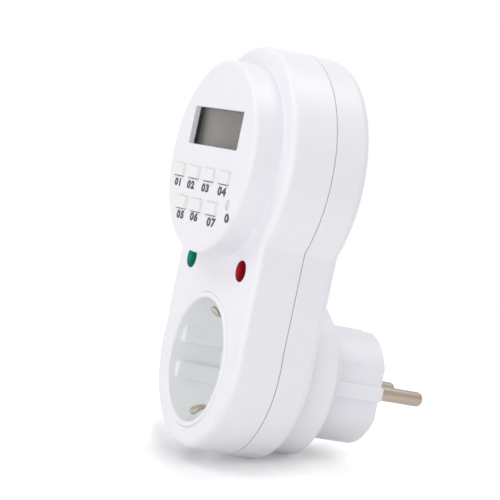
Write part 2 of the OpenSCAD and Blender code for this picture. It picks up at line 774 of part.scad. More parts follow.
diode_at = [-15, -14.5];
diode_pitch = 4.5;
diode_r = 1.35;
diode_l = 5.2;
module diodes() {
    color("black") for (i = [0 : 3])
        translate([diode_at[0] + diode_pitch * i, power_y - diode_r, lobe_z + diode_at[1]])
        cylinder(r = diode_r, h = diode_l, $fn = small_fn);
}

chip3_at = [4, 3];
chip3_r = 2.4;
chip3_h = 5;
chip3_flat = 1.8;        // distance of its flat face from its axis
module transistor() {
    place = [chip3_at[0], lobe_z + chip3_at[1]];
    color("black") difference() {
        rod(place, chip3_r, power_y - chip3_h, power_y);
        block([place[0], place[1] - chip3_flat - chip3_r], 2 * chip3_r, 2 * chip3_r,
            power_y - chip3_h - eps, power_y + eps);
    }
}

// Mains wires: points chosen by hand as [x, y, z]. They end on the power board's lower edge.
wire_in = 1.9;           // height of the wires' ends above the board's lower edge
wire_z = power_low + wire_in;
line_in_x = -10.6;
line_out_x = -6.4;
neutral_x = 10.6;
line_in_path = [[-pin_x, head_back, 0], [-pin_x, head_back - 1.6, 0], [-9.6, -17.6, 4.6], [-8.8, -21.6, 9.2],
    [-8.4, -30, 9.9], [-9, -34, 14], [-10.6, -35.2, 24], [-11.2, -36.6, 36], [-10.8, power_y - 4, wire_z - 2.4],
    [line_in_x, power_y - 2.4, wire_z], [line_in_x, power_y, wire_z]];
line_out_path = [[-pin_x, contact_back, contact_top + strip_t / 2],
    [-pin_x, contact_back + 1.2, contact_top + strip_t / 2], [-7.6, contact_back + 3.4, 5.6], [-5.4, -23.2, 8.4],
    [-4.8, -27, 10.2], [-4.8, -31, 11.4], [-5.2, -34.8, 16], [-6.4, -35.2, 26], [-7, -36.8, 36],
    [-6.6, power_y - 4, wire_z - 2.4], [line_out_x, power_y - 2.4, wire_z], [line_out_x, power_y, wire_z]];
neutral_path = [[pin_x, -18, link_z + strip_t / 2], [pin_x, -18, link_z + 2], [8.6, -20, 8.4], [7, -23.6, 9.9],
    [7, -30, 9.9], [8.5, -34, 14], [10.6, -35.2, 24], [11.2, -36.6, 36], [10.8, power_y - 4, wire_z - 2.4],
    [neutral_x, power_y - 2.4, wire_z], [neutral_x, power_y, wire_z]];
module wire_line_in() { color("saddlebrown") wire(line_in_path, wire_dia / 2); }
module wire_line_out() { color("saddlebrown") wire(line_out_path, wire_dia / 2); }
module wire_neutral() { color("steelblue") wire(neutral_path, wire_dia / 2); }

// The lamps' wires run up between the boards and end on the power board
bend = 1.4;              // straight length at each end of a thin wire or cable
thin_in = 2.4;           // height of their ends above the board's lower edge
thin_x = 14.2;           // distance of a pair of wires from the centre line at the board
module led_wires() {
    end_z = power_low + thin_in;
    color("dimgray") for (s = [-1, 1], t = [-1, 1]) {
        x = s * lamp_x + t * lead_pitch / 2;
        end_x = s * thin_x + t * lead_pitch / 2;
        wire([[x, lead_back, lamp_z], [x, lead_back + bend, lamp_z], [x, lead_back + 2 * bend, lamp_z + 2 * bend],
            [end_x, power_y - 3 * bend, end_z - 2 * bend], [end_x, power_y - bend, end_z], [end_x, power_y, end_z]],
            thin_dia / 2);
    }
}

ribbon_w = 9;            // width of the ribbon cable
ribbon_t = 0.9;          // thickness of the ribbon cable
ribbon_x = 3;            // place of the ribbon cable beside the centre line
ribbon_drop = 18.6;      // height of its upper end below the pod's centre
ribbon_sag = 3;          // how far it hangs between its ends
module ribbon_cable() {
    top = pod_z - ribbon_drop;
    color("lightgray") bent_strip([[control_back, top], [control_back + bend, top],
        [(control_back + power_y) / 2, (top + wire_z) / 2 - ribbon_sag], [power_y - bend, wire_z], [power_y, wire_z]],
        ribbon_t, ribbon_x, ribbon_w);
}

module case_screws() {
    color("silver") for (p = screw_places) {
        rod(p, head_dia / 2, head_y, head_y + head_h);
        rod(p, screw_dia / 2, screw_tip, head_y + bite);
    }
}

// A board screw with its head at seat_y; into is 1 or -1, the way it is driven along Y
module small_screw(p, seat_y, into) {
    top = seat_y - into * small_head_h;
    neck = seat_y - into * bite;
    tip = seat_y + into * (board_t + small_l - bite);
    rod(p, small_head / 2, min(seat_y, top), max(seat_y, top));
    rod(p, small_dia / 2, min(neck, tip), max(neck, tip));
}
module board_screws() {
    color("silver") {
        for (p = control_screws) small_screw(p, control_back, -1);
        for (p = power_screws) small_screw(p, power_y, 1);
    }
}

// A key: a chamfered cap, a flange behind the wall and a stem on the switch
module keycap(p) {
    cap_y = pod_y - key_out;
    cap_back = pod_in_y + slip + flange_t;
    color("ivory") {
        across(p[0], key_w) translate([0, p[1]]) polygon([
            [cap_y, key_chamfer - key_h / 2], [cap_y, key_h / 2 - key_chamfer], [cap_y + key_chamfer, key_h / 2],
            [cap_back, key_h / 2], [cap_back, -key_h / 2], [cap_y + key_chamfer, -key_h / 2]]);
        block(p, key_w + 2 * flange_w, key_h + 2 * flange_w, pod_in_y + slip, cap_back);
        block(p, stem_w, stem_h, pod_in_y + slip, plunger_y);
    }
}
module key_day() { keycap(key_places[0]); }
module key_hour() { keycap(key_places[1]); }
module key_minute() { keycap(key_places[2]); }
module key_second() { keycap(key_places[3]); }
module key_clock() { keycap(key_places[4]); }
module key_program() { keycap(key_places[5]); }
module key_manual() { keycap(key_places[6]); }

module reset_button() {
    color("ivory") {
        rod(reset_place, reset_dia / 2, pod_y + reset_in, plunger_y);
        rod(reset_place, reset_dia / 2 + flange_w, pod_in_y + slip, pod_in_y + slip + flange_t);
    }
}

// The moving plunger of a switch
module plunger(p) {
    color("gray") rod(p, plunger_dia / 2, plunger_y, tact_y + plunger_in);
}
module plunger_day() { plunger(key_places[0]); }
module plunger_hour() { plunger(key_places[1]); }
module plunger_minute() { plunger(key_places[2]); }
module plunger_second() { plunger(key_places[3]); }
module plunger_clock() { plunger(key_places[4]); }
module plunger_program() { plunger(key_places[5]); }
module plunger_manual() { plunger(key_places[6]); }
module plunger_reset() { plunger(reset_place); }

front_housing();
rear_housing();
socket_insert();
plug_body();
plug_pin_line();
plug_pin_neutral();
contact_carrier();
plug_earth_contacts();
earth_strip();
socket_contact_line();
socket_contact_neutral();
neutral_link();
display_window();
lcd_panel();
lcd_frame();
zebra_strips();
control_board();
tact_switches();
microcontroller();
quartz_crystal();
backup_battery();
lens_green();
lens_red();
led_green();
led_red();
power_board();
relay();
film_capacitor();
electrolytic_capacitor();
varistor();
fuse_resistor();
diodes();
transistor();
wire_line_in();
wire_line_out();
wire_neutral();
led_wires();
ribbon_cable();
case_screws();
board_screws();
key_day();
key_hour();
key_minute();
key_second();
key_clock();
key_program();
key_manual();
reset_button();
plunger_day();
plunger_hour();
plunger_minute();
plunger_second();
plunger_clock();
plunger_program();
plunger_manual();
plunger_reset();
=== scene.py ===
import math

import bmesh
import bpy
from mathutils import Matrix, Vector


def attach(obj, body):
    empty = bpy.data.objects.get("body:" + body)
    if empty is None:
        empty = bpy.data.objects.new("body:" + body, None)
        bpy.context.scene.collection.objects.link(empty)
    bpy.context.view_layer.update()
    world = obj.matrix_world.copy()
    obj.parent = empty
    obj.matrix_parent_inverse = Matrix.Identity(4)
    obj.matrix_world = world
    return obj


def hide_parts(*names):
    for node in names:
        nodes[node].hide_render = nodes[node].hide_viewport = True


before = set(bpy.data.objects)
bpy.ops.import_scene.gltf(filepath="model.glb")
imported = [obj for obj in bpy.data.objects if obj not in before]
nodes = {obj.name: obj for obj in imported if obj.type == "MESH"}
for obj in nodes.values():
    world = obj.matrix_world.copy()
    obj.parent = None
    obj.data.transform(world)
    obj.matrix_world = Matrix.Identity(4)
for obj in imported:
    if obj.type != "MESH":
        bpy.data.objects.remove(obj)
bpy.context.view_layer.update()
scene = bpy.context.scene
MM = 0.001
SHARP = 32      # degrees; an edge that turns by more stays hard

# ---------------------------------------------------------------- camera
# its place and its lens were fitted to the outlines in the photo
LEAN = math.radians(13.08)      # the part leans back on its case and its boss
DROP = 19.55                    # mm from the middle of the plug's face down to the floor, square to it
cam_data = bpy.data.cameras.new("camera")
cam_data.sensor_width = 36
cam_data.lens = 153.55
cam_data.clip_start = 0.01
cam_data.clip_end = 20
camera = bpy.data.objects.new("camera", cam_data)
right = Vector((0.41317, 0.88695, 0.20643)).normalized()
back = Vector((0.90376, -0.42721, 0.02666))
back = (back - right * back.dot(right)).normalized()
up = back.cross(right)
camera.matrix_world = Matrix((
    (right.x, up.x, back.x, 0.604177),
    (right.y, up.y, back.y, -0.332976),
    (right.z, up.z, back.z, 0.054446),
    (0, 0, 0, 1)))
scene.collection.objects.link(camera)
scene.camera = camera

# ---------------------------------------------------------------- sizes, in mm
LOBE_R, LOBE_Z = 37.9, 62.3
BASE_R, BASE_Z = 30.8, 2.8
NECK = 30.4
WALL = 2.2
BOSS_Y, BACK_Y, SEAM_Y, FACE_Y = -20.5, -31.3, -43.5, -57.9
POD_Y, POD_IN_Y, FRONT_IN_Y, BACK_IN_Y = -67.5, -65.7, -55.7, -33.5
RIM_Y, WELL_Y, FLOOR_BACK = -58.5, -41.0, -38.5
FRONT_ROUND, FRONT_DRAFT, BACK_ROUND = 2.1, 0.6, 3.4
POD_R, POD_Z, POD_DRAFT, POD_ROUND, POD_FILLET = 30.3, 63.0, 0.2, 1.8, 0.3
WELL_R, RING_R = 19.5, 21.4
PLUG_R, BOSS_R = 18.5, 25.0
WINDOW = (0, 71.7, 37.2, 11.9)
KEY_W, KEY_H, KEY_GAP, KEY_LOW, KEY_OUT = 8.4, 3.9, 0.05, 0.2, 1.3
UPPER = [(-20.6 + 11.6 * i, 57.0) for i in range(4)]
LOWER = [(-13.9 + 11.6 * i, 47.0) for i in range(3)]
RESET, RESET_R = (20.4, 49.0), 1.55
LAMPS = [(-19.0, 30.3), (19.0, 30.3)]
LENS_R, LENS_BULGE = 3.3, 0.9
PIN_X = 9.5
PIN_R, PIN_END, PIN_TIP = 2.4, 19, 1.9
SCREWS = [(-22.27, 84.57), (22.27, 84.57), (-24.0, 40.0), (24.0, 40.0)]
HEAD_Y, HEAD_R, SHANK_R, SLOT = -35.8, 2.5, 1.5, 0.3
POST_R, SHAFT_R = 3.9, 2.7      # the posts for the screws, and the holes that lead to their heads
SEAM_GAP, SEAM_EDGE, SEAM_IN = 0.17, 0.08, 0.7
HOLE_R = 2.6                    # holes in the well's floor
CLAW_SLOT = (-49.0, -43.5)      # depths between which a claw comes through the well's wall
FLANGE, FLANGE_Y = 0.8, (POD_IN_Y + 0.2, POD_IN_Y + 1.2)    # the lip that keeps a key behind the front
STEM_Y = POD_IN_Y + 3.0         # where a key's stem ends, at its switch


# ---------------------------------------------------------------- mesh helpers
def arc(cx, cy, r, a0, a1, n=12):
    """n + 1 points of an arc from angle a0 to a1, in degrees."""
    return [(cx + r * math.cos(math.radians(a0 + (a1 - a0) * i / n)),
             cy + r * math.sin(math.radians(a0 + (a1 - a0) * i / n))) for i in range(n + 1)]


def circle(cx, cz, r, n=160):
    """A round outline for loft: each point with the direction away from the middle."""
    out = []
    for i in range(n):
        a = 2 * math.pi * i / n
        out.append((cx + r * math.cos(a), cz + r * math.sin(a), math.cos(a), math.sin(a)))
    return out


def round_rect(cx, cz, w, h, r, n=5):
    """A rectangle outline with rounded corners, for loft."""
    out = []
    for sx, sz, a0 in ((1, 1, 0), (-1, 1, 90), (-1, -1, 180), (1, -1, 270)):
        for i in range(n + 1):
            a = math.radians(a0 + 90 * i / n)
            out.append((cx + sx * (w / 2 - r) + r * math.cos(a), cz + sz * (h / 2 - r) + r * math.sin(a),
                        math.cos(a), math.sin(a)))
    return out


def with_normals(points):
    """A closed counter-clockwise outline with the outward mitre at each point."""
    out = []
    n = len(points)
    for i in range(n):
        p, q, r = Vector(points[i - 1]), Vector(points[i]), Vector(points[(i + 1) % n])
        a, b = (q - p).normalized(), (r - q).normalized()
        na, nb = Vector((a.y, -a.x)), Vector((b.y, -b.x))
        m = (na + nb).normalized()
        m /= max(m.dot(na), 0.5)
        out.append((q.x, q.y, m.x, m.y))
    return out


def soften(points, radii, n=5):
    """Rounds the corners of a closed outline; radii holds 0 for a point that stays."""
    out = []
    count = len(points)
    for i in range(count):
        p, q, r = Vector(points[i - 1]), Vector(points[i]), Vector(points[(i + 1) % count])
        if not radii[i]:
            out.append((q.x, q.y))
            continue
        a, b = (p - q).normalized(), (r - q).normalized()
        half = math.acos(max(-1, min(1, a.dot(b)))) / 2
        d = min(radii[i] / math.tan(half), (p - q).length * 0.45, (r - q).length * 0.45)
        rad = d * math.tan(half)
        centre = q + (a + b).normalized() * (rad / math.sin(half))
        s, e = q + a * d - centre, q + b * d - centre
        turn = math.atan2(s.x * e.y - s.y * e.x, s.dot(e))
        for k in range(n + 1):
            c, si = math.cos(turn * k / n), math.sin(turn * k / n)
            out.append((centre.x + s.x * c - s.y * si, centre.y + s.x * si + s.y * c))
    return out


def loft(outline, profile, ring=False, axis="Y"):
    """(verts, faces): an outline moved along its normals by each profile offset, at each profile place."""
    verts, faces, n = [], [], len(outline)
    for off, w in profile:
        for u, v, nu, nv in outline:
            p = (u + off * nu, v + off * nv)
            verts.append((p[0], w, p[1]) if axis == "Y" else (w, p[0], p[1]))
    rows = len(profile)
    for j in range(rows if ring else rows - 1):
        a, b = j * n, ((j + 1) % rows) * n
        for i in range(n):
            k = (i + 1) % n
            faces.append((a + i, a + k, b + k, b + i))
    if not ring:
        faces.append(tuple(reversed(range(n))))
        faces.append(tuple(range((rows - 1) * n, rows * n)))
    return verts, faces


def turned(cx, cz, profile, n=160, ring=False):
    """A shape of revolution about a line along Y, from (radius, y) pairs."""
    return loft(circle(cx, cz, 0.0, n), profile, ring)


def block(x0, x1, y0, y1, z0, z1):
    """A plain box between two corners."""
    v = [(x, y, z) for x in (x0, x1) for y in (y0, y1) for z in (z0, z1)]
    return v, [(0, 1, 3, 2), (4, 6, 7, 5), (0, 4, 5, 1), (2, 3, 7, 6), (0, 2, 6, 4), (1, 5, 7, 3)]


def solid(name, *parts):
    """One object from (verts, faces) parts in mm, closed and facing outwards."""
    bm = bmesh.new()
    for verts, faces in parts:
        made = [bm.verts.new(v) for v in verts]
        for f in faces:
            bm.faces.new([made[i] for i in f])
    bmesh.ops.remove_doubles(bm, verts=bm.verts, dist=1e-4)
    bmesh.ops.dissolve_degenerate(bm, edges=bm.edges, dist=1e-5)
    bmesh.ops.recalc_face_normals(bm, faces=bm.faces)
    mesh = bpy.data.meshes.new(name)
    bm.to_mesh(mesh)
    bm.free()
    obj = bpy.data.objects.new(name, mesh)
    scene.collection.objects.link(obj)
    return obj


def bake(obj):
    """Applies the modifiers to the mesh."""
    dg = bpy.context.evaluated_depsgraph_get()
    mesh = bpy.data.meshes.new_from_object(obj.evaluated_get(dg))
    old = obj.data
    obj.modifiers.clear()
    obj.data = mesh
    mesh.name = old.name
    bpy.data.meshes.remove(old)


def boolean(obj, other, operation):
    """Joins another closed object to this one or takes it out, and removes the other."""
    mod = obj.modifiers.new("cut", "BOOLEAN")
    mod.operation = operation
    mod.solver = "EXACT"
    mod.object = other
    bake(obj)
    bpy.data.objects.remove(other)


def cut(obj, *parts):
    """Takes the parts out of the object."""
    boolean(obj, solid("cutter", *parts), "DIFFERENCE")


def add(obj, *parts):
    """Joins the parts to the object."""
    boolean(obj, solid("adder", *parts), "UNION")


def hole(outline, y0, y1, edge, sign=-1):
    """A cutter from y0 to y1 whose mouth at y0 is rounded by edge; sign -1 opens towards -Y."""
    rim = arc(edge, y0 - sign * edge, edge, sign * 90, sign * 180, 5)
    rim[0] = (edge, y0 + sign * 0.004)
    return loft(outline, [(edge, y0 + sign * 1.0)] + rim + [(0, y1)])


def clean(mesh):
    """Takes out the faces without area that a boolean can leave."""
    bm = bmesh.new()
    bm.from_mesh(mesh)
    bmesh.ops.dissolve_degenerate(bm, dist=1e-4, edges=bm.edges[:])
    thin = {f for f in bm.faces if f.calc_area() < 1e-6}
    stray = [f for f in thin if all(g in thin for e in f.edges for g in e.link_faces)]
    bmesh.ops.delete(bm, geom=stray, context="FACES")
    bm.to_mesh(mesh)
    bm.free()


def finish_piece(obj, body, materials, replaced=(), weighted=True):
    """Scales a piece to metres, smooths it, gives it its materials and makes it ride."""
    mesh = obj.data
    clean(mesh)
    mesh.transform(Matrix.Scale(MM, 4))
    mesh.polygons.foreach_set("use_smooth", [True] * len(mesh.polygons))
    mesh.set_sharp_from_angle(angle=math.radians(SHARP))
    if weighted:
        mod = obj.modifiers.new("normals", "WEIGHTED_NORMAL")
        mod.keep_sharp = True
        mod.weight = 80
        bake(obj)
        mesh = obj.data
    mesh.materials.clear()
    for m in materials if isinstance(materials, (list, tuple)) else [materials]:
        mesh.materials.append(m)
    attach(obj, body)
    if replaced:
        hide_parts(*replaced)
    return obj


# ---------------------------------------------------------------- shader nodes
def map_range(nt, source, low_in, high_in, low, high, kind="LINEAR"):
    """A Map Range node on a value; gives its result."""
    n = nt.nodes.new("ShaderNodeMapRange")
    n.interpolation_type = kind
    for key, value in (("From Min", low_in), ("From Max", high_in), ("To Min", low), ("To Max", high)):
        n.inputs[key].default_value = value
    nt.links.new(source, n.inputs["Value"])
    return n.outputs["Result"]


def combine(nt, operation, *values, clamp=False):
    """A Math node on sockets or numbers; gives its result."""
    n = nt.nodes.new("ShaderNodeMath")
    n.operation = operation
    n.use_clamp = clamp
    for socket, value in zip(n.inputs, values):
        if isinstance(value, float):
            socket.default_value = value
        else:
            nt.links.new(value, socket)
    return n.outputs["Value"]


def mix_shader(nt, factor, first, second):
    """A Mix Shader node; gives its result."""
    n = nt.nodes.new("ShaderNodeMixShader")
    for socket, value in zip(n.inputs, (factor, first, second)):
        nt.links.new(value, socket)
    return n.outputs["Shader"]


def dented(nt, height, strength, depth):
    """A Bump node on the material's own shader; depth is in mm."""
    n = nt.nodes.new("ShaderNodeBump")
    n.inputs["Strength"].default_value = strength
    n.inputs["Distance"].default_value = depth * MM
    nt.links.new(height, n.inputs["Height"])
    nt.links.new(n.outputs["Normal"], nt.nodes["Principled BSDF"].inputs["Normal"])


# ---------------------------------------------------------------- materials
def material(name, colour, rough=0.4, metallic=0.0, spread=0.02, size=0.4, bump=0.02, grain=0.15,
             stretch=(1, 1, 1), rough_spread=0.06, transmission=0.0, ior=1.5):
    """A procedural material: fine colour and gloss variation and a shallow grain. Sizes are in mm."""
    mat = bpy.data.materials.new(name)
    mat.use_nodes = True
    nt = mat.node_tree
    bsdf = nt.nodes["Principled BSDF"]
    coord = nt.nodes.new("ShaderNodeTexCoord")
    place = nt.nodes.new("ShaderNodeMapping")
    place.inputs["Scale"].default_value = stretch
    nt.links.new(coord.outputs["Object"], place.inputs["Vector"])

    def noise(period, detail=2.0):
        """Noise with a period in mm; gives its value."""
        n = nt.nodes.new("ShaderNodeTexNoise")
        n.inputs["Scale"].default_value = 1 / (period * MM)
        n.inputs["Detail"].default_value = detail
        nt.links.new(place.outputs["Vector"], n.inputs["Vector"])
        return n.outputs["Fac"]

    paint = nt.nodes.new("ShaderNodeVectorMath")
    paint.operation = "SCALE"
    paint.inputs[0].default_value = colour
    shade = map_range(nt, noise(size * 20), 0.3, 0.7, 1 - spread, 1 + spread * 0.4)
    nt.links.new(shade, paint.inputs["Scale"])
    nt.links.new(paint.outputs["Vector"], bsdf.inputs["Base Color"])
    gloss = map_range(nt, noise(size * 4), 0.3, 0.7, rough - rough_spread / 2, rough + rough_spread / 2)
    nt.links.new(gloss, bsdf.inputs["Roughness"])
    if bump:
        dented(nt, noise(grain, 3.0), 0.35, bump)
    bsdf.inputs["Metallic"].default_value = metallic
    bsdf.inputs["IOR"].default_value = ior
    bsdf.inputs["Transmission Weight"].default_value = transmission
    return mat


def metal(name, colour, rough, spread=0.1, size=0.1, **more):
    """A metal: its colour varies more than a plastic's, and more finely."""
    return material(name, colour, rough=rough, metallic=1.0, spread=spread, size=size, bump=0.01, **more)


WHITE = material("white_shell", (0.86, 0.855, 0.885), rough=0.38, spread=0.01, bump=0.012, grain=0.25)
PLUG_WHITE = material("white_plug", (0.86, 0.86, 0.89), rough=0.34, spread=0.01, bump=0.01, grain=0.3)
RING_WHITE = material("white_ring", (0.87, 0.87, 0.885), rough=0.36, spread=0.01, bump=0.0)
WELL_TINT = material("well_plastic", (0.875, 0.892, 0.89), rough=0.36, spread=0.015, bump=0.0)
CREAM = material("key_plastic", (0.868, 0.855, 0.85), rough=0.42, spread=0.015, bump=0.015, grain=0.2)
RESET_GREY = material("reset_plastic", (0.70, 0.70, 0.715), rough=0.45, spread=0.03, bump=0.015, grain=0.2)
INK = material("label_ink", (0.065, 0.065, 0.075), rough=0.5, spread=0.15, size=0.05, bump=0.006,
               grain=0.08)
PIN = metal("pin_metal", (0.395, 0.33, 0.28), 0.33, size=0.12, grain=0.12, stretch=(1, 0.12, 1),
            rough_spread=0.12)
SPRING = metal("spring_metal", (0.55, 0.475, 0.40), 0.34, spread=0.14, grain=0.1, rough_spread=0.12)
CONTACT = metal("side_contact_metal", (0.78, 0.75, 0.71), 0.42)
STEEL = metal("screw_steel", (0.60, 0.60, 0.61), 0.3, grain=0.1)
BRASS = metal("contact_brass", (0.70, 0.55, 0.30), 0.32)
BOARD = material("board_green", (0.04, 0.20, 0.09), rough=0.45, spread=0.25, size=0.1, bump=0.02, grain=0.5)
BLACK = material("black_moulding", (0.025, 0.025, 0.028), rough=0.5, spread=0.2, size=0.1)
CAN = metal("metal_can", (0.68, 0.69, 0.71), 0.3, spread=0.06, size=0.2)
BLUE_BOX = material("blue_moulding", (0.03, 0.12, 0.42), rough=0.42, spread=0.1, size=0.2, bump=0.02)
YELLOW_BOX = material("yellow_box", (0.72, 0.50, 0.08), rough=0.4, spread=0.1, size=0.2, bump=0.02)
SLEEVE = material("dark_sleeve", (0.03, 0.03, 0.11), rough=0.35, spread=0.1, size=0.2, bump=0.01)
LACQUER = material("blue_lacquer", (0.05, 0.16, 0.36), rough=0.3, spread=0.1, size=0.15, bump=0.05,
                   grain=0.8)
CERAMIC = material("resistor_body", (0.62, 0.52, 0.38), rough=0.6, spread=0.1, size=0.1, bump=0.03)
BROWN_WIRE = material("brown_insulation", (0.16, 0.07, 0.03), rough=0.45, spread=0.1, size=0.2, bump=0.01)
BLUE_WIRE = material("blue_insulation", (0.03, 0.10, 0.40), rough=0.45, spread=0.1, size=0.2, bump=0.01)
GREY_WIRE = material("grey_insulation", (0.35, 0.35, 0.37), rough=0.45, spread=0.1, size=0.2, bump=0.01)
RUBBER = material("strip_rubber", (0.08, 0.09, 0.1), rough=0.7, spread=0.2, size=0.05, bump=0.02)
GREY_PLASTIC = material("grey_plastic", (0.18, 0.18, 0.19), rough=0.5, spread=0.1, size=0.2, bump=0.02)
LED_GREEN = material("led_green_body", (0.20, 0.62, 0.42), rough=0.2, spread=0.05, bump=0.0,
                     transmission=0.3)
LED_RED = material("led_red_body", (0.70, 0.12, 0.12), rough=0.2, spread=0.05, bump=0.0,
                   transmission=0.3)
PANE = material("window_pane", (0.93, 0.95, 0.94), rough=0.05, spread=0.01, bump=0.0, rough_spread=0.02,
                transmission=1.0, ior=1.18)


def lens_material(name, edge, middle, centre):
    """A tinted lens: darker at its rim, with a fine prism pattern moulded into it."""
    mat = material(name, middle, rough=0.25, spread=0.06, size=0.05, bump=0.0)
    nt = mat.node_tree
    bsdf = nt.nodes["Principled BSDF"]
    bsdf.inputs["Specular IOR Level"].default_value = 0.01
    coord = nt.nodes.new("ShaderNodeTexCoord")
    split = nt.nodes.new("ShaderNodeSeparateXYZ")
    join = nt.nodes.new("ShaderNodeCombineXYZ")
    away = nt.nodes.new("ShaderNodeVectorMath")
    away.operation = "DISTANCE"
    away.inputs[1].default_value = (centre[0] * MM, 0, centre[1] * MM)
    nt.links.new(coord.outputs["Object"], split.inputs[0])
    nt.links.new(split.outputs["X"], join.inputs["X"])
    nt.links.new(split.outputs["Z"], join.inputs["Z"])
    nt.links.new(join.outputs[0], away.inputs[0])
    cells = nt.nodes.new("ShaderNodeTexVoronoi")
    cells.inputs["Scale"].default_value = 1 / (0.55 * MM)
    cells.inputs["Randomness"].default_value = 0.15
    nt.links.new(coord.outputs["Object"], cells.inputs["Vector"])
    ramp = nt.nodes.new("ShaderNodeValToRGB")
    for e, pos, tint in zip(ramp.color_ramp.elements, (0.35, 0.95), (middle, edge)):
        e.position, e.color = pos, (*tint, 1)
    share = combine(nt, "DIVIDE", away.outputs["Value"], LENS_R * MM)
    nt.links.new(combine(nt, "MULTIPLY_ADD", cells.outputs["Distance"], 0.35, share), ramp.inputs["Fac"])
    nt.links.new(ramp.outputs["Color"], bsdf.inputs["Base Color"])
    dented(nt, cells.outputs["Distance"], 0.5, 0.05)
    return mat


GREEN_LENS = lens_material("green_lens", (0.002, 0.13, 0.09), (0.004, 0.235, 0.16), LAMPS[0])
RED_LENS = lens_material("red_lens", (0.17, 0.001, 0.006), (0.36, 0.002, 0.014), LAMPS[1])


def lcd_material():
    """The blank cell: olive grey, with painted shade that darkens it towards the left end and towards the
    bottom.
    """
    mat = material("lcd_cell", (0.26, 0.25, 0.21), rough=0.3, spread=0.03, size=0.3, bump=0.0)
    nt = mat.node_tree
    bsdf = nt.nodes["Principled BSDF"]
    bsdf.inputs["Specular IOR Level"].default_value = 0.1
    coord = nt.nodes.new("ShaderNodeTexCoord")
    split = nt.nodes.new("ShaderNodeSeparateXYZ")
    nt.links.new(coord.outputs["Object"], split.inputs[0])
    half = WINDOW[2] / 2 * MM
    # painted shade: the ramp and the two offsets darken the cell towards its left end and its bottom edge
    along = map_range(nt, split.outputs["X"], -half, half, 0.0, 1.0)
    top, bottom = 77 * MM, 66 * MM
    drop = map_range(nt, split.outputs["Z"], top, bottom, -0.035, -0.085)
    ramp = nt.nodes.new("ShaderNodeValToRGB")
    painted_shade_tones = [(0.0, 0.0), (0.03, 0.002), (0.05, 0.04), (0.07, 0.08), (0.11, 0.125), (0.15, 0.17),
             (0.28, 0.215), (0.55, 0.17), (1.0, 0.166)]
    els = ramp.color_ramp.elements
    while len(els) < len(painted_shade_tones):
        els.new(0.5)
    for e, (pos, tone) in zip(els, painted_shade_tones):
        e.position, e.color = pos, (1.15 * tone, 0.98 * tone, 0.93 * tone, 1)
    nt.links.new(combine(nt, "ADD", along, drop), ramp.inputs["Fac"])
    nt.links.new(ramp.outputs["Color"], bsdf.inputs["Base Color"])
    return mat


LCD = lcd_material()


# ---------------------------------------------------------------- the case
def case_path():
    """The case's outline, counter-clockwise, with small fillets at the waist."""
    fillet, bend = 2.2, 20.0        # radii: the fillet under the lobe, and the soft bend above the base
    fillet_z = LOBE_Z - math.sqrt((LOBE_R + fillet) ** 2 - (NECK + fillet) ** 2)
    bend_z = BASE_Z + math.sqrt((BASE_R + bend) ** 2 - (NECK + bend) ** 2)
    top = math.degrees(math.atan2(fillet_z - LOBE_Z, NECK + fillet))
    low = math.degrees(math.atan2(bend_z - BASE_Z, NECK + bend))
    pts = arc(0, LOBE_Z, LOBE_R, top, 180 - top, 200)
    pts += arc(-NECK - fillet, fillet_z, fillet, -top, 0, 8)[1:]
    pts += [(-NECK, fillet_z + (bend_z - fillet_z) * k / 8) for k in range(1, 8)]
    pts += arc(-NECK - bend, bend_z, bend, 0, -low, 5)
    pts += arc(0, BASE_Z, BASE_R, 180 - low, 360 + low, 150)[1:]
    pts += arc(NECK + bend, bend_z, bend, 180 + low, 180, 5)[1:]
    pts += [(NECK, bend_z + (fillet_z - bend_z) * k / 8) for k in range(1, 8)]
    pts += arc(NECK + fillet, fillet_z, fillet, 180, 180 + top, 8)[:-1]
    return with_normals(pts)


OUTLINE = case_path()


def front_shell():
    """The front half of the case with its pod, and all the openings in the front."""
    outer = arc(-FRONT_ROUND - FRONT_DRAFT, FACE_Y + FRONT_ROUND, FRONT_ROUND, -90, 0, 14)
    seam = SEAM_Y - SEAM_GAP
    outer += [(0, seam - SEAM_EDGE), (-SEAM_EDGE, seam), (-SEAM_IN, seam), (-SEAM_IN, SEAM_Y)]
    obj = solid("front_shell", loft(OUTLINE, outer))
    # the pod: a rounded shoulder, a drafted side and a fillet at its foot
    top_r, top_y = POD_R - POD_ROUND, POD_Y + POD_ROUND
    foot_r, foot_y = POD_R + POD_DRAFT + POD_FILLET, FACE_Y - POD_FILLET
    reach = math.hypot(foot_r - top_r, foot_y - top_y)
    line = math.atan2(foot_y - top_y, foot_r - top_r)
    meet = math.degrees(line - math.acos(min(1, (POD_ROUND + POD_FILLET) / reach)))
    pod = arc(top_r, top_y, POD_ROUND, -90, meet, 16) + arc(foot_r, foot_y, POD_FILLET, 180 + meet, 90, 10)
    # a hair's breadth into the case, so that the union has no faces that lie on each other
    pod[-1] = (foot_r, FACE_Y + 0.004)
    pod += [(foot_r, FACE_Y + 0.5)]
    add(obj, turned(0, POD_Z, pod, 220))
    cut(obj, loft(OUTLINE, [(-WALL, FRONT_IN_Y), (-WALL, SEAM_Y + 1)]))
    # the openings, each a little wider than what sits in it; the last number rounds its mouth
    cut(obj,
        turned(0, POD_Z, [(POD_R - WALL, POD_IN_Y), (POD_R - WALL, FRONT_IN_Y + 1)]),
        hole(circle(0, 0, RING_R + 0.02), FACE_Y, FRONT_IN_Y + 1, 0.04),
        *[hole(circle(x, z, LENS_R + 0.03, 64), FACE_Y, FRONT_IN_Y + 1, 0.05) for x, z in LAMPS])
    cut(obj,
        hole(round_rect(*WINDOW, 0.5), POD_Y, POD_IN_Y + 1, 0.22),
        hole(circle(*RESET, RESET_R + 0.07, 48), POD_Y, POD_IN_Y + 1, 0.12),
        *[hole(round_rect(x, z - KEY_LOW / 2, KEY_W + 2 * KEY_GAP, KEY_H + 2 * KEY_GAP + KEY_LOW, 0.48),
               POD_Y, POD_IN_Y + 1, 0.04) for x, z in UPPER + LOWER])
    return obj


